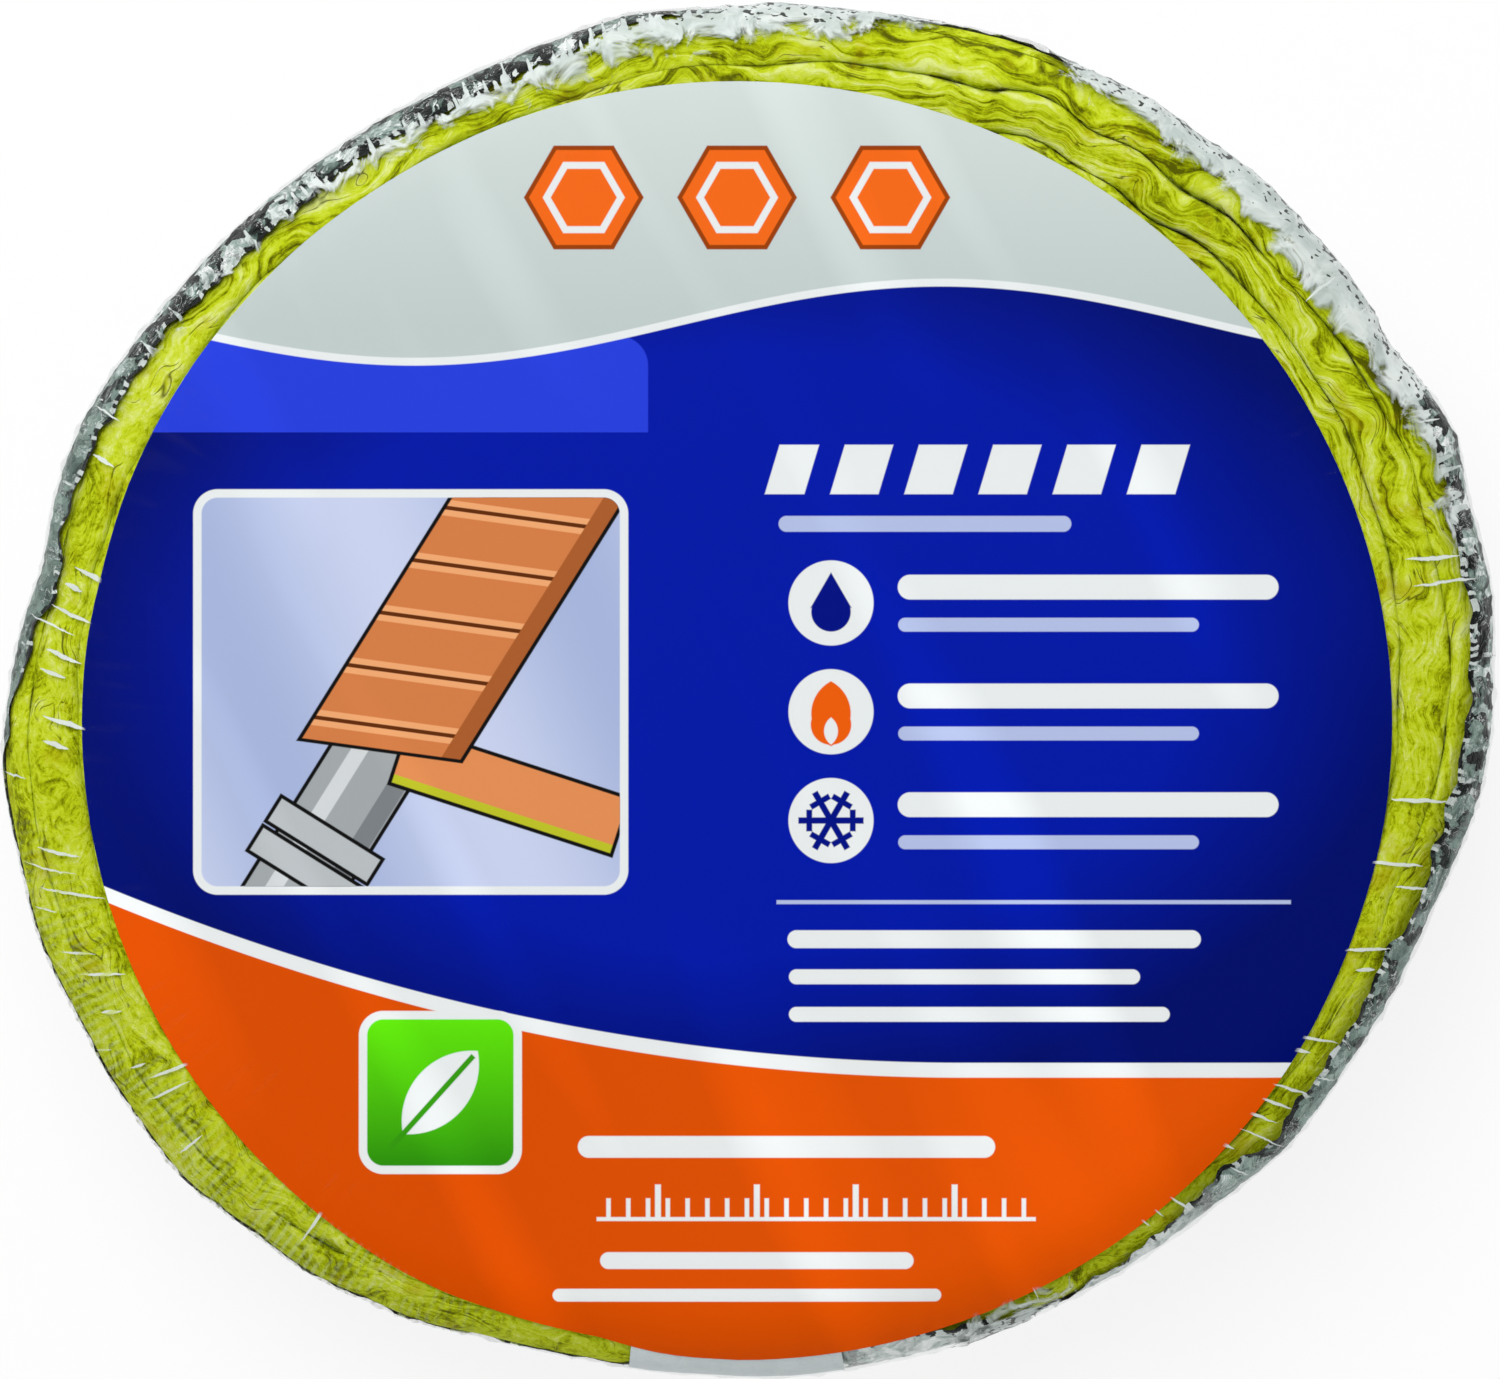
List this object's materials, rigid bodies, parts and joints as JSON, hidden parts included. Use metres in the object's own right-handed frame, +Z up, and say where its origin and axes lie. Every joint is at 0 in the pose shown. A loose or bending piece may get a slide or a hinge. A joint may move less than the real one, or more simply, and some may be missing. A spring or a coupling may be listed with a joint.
{
  "type": "fiberglass pipe wrap roll",
  "caption": "Roll of foil-faced fiberglass pipe wrap, slightly oval, shrink wrapped in clear film with a round label card on its front end.",
  "frame": {"origin": "middle of the wrapped roll's outline, on the floor that it lies on", "axes": "+X along the long axis of the oval, +Y across it, +Z up, out of the labelled front end"},
  "size_m": [0.304, 0.278, 0.0782],
  "materials": {
    "fiberglass": "matt wool of fine glass fibres",
    "foil": "crinkled bright foil",
    "tape": "white paper tape",
    "label": "printed card, satin",
    "film": "clear shrink film, glossy and wrinkled"
  },
  "bodies": {
    "root": {"fiberglass_blanket": "fiberglass", "foil_facing": "foil", "closure_tape": "tape", "label_disc": "label", "shrink_film": "film"}
  },
  "joints": []
}
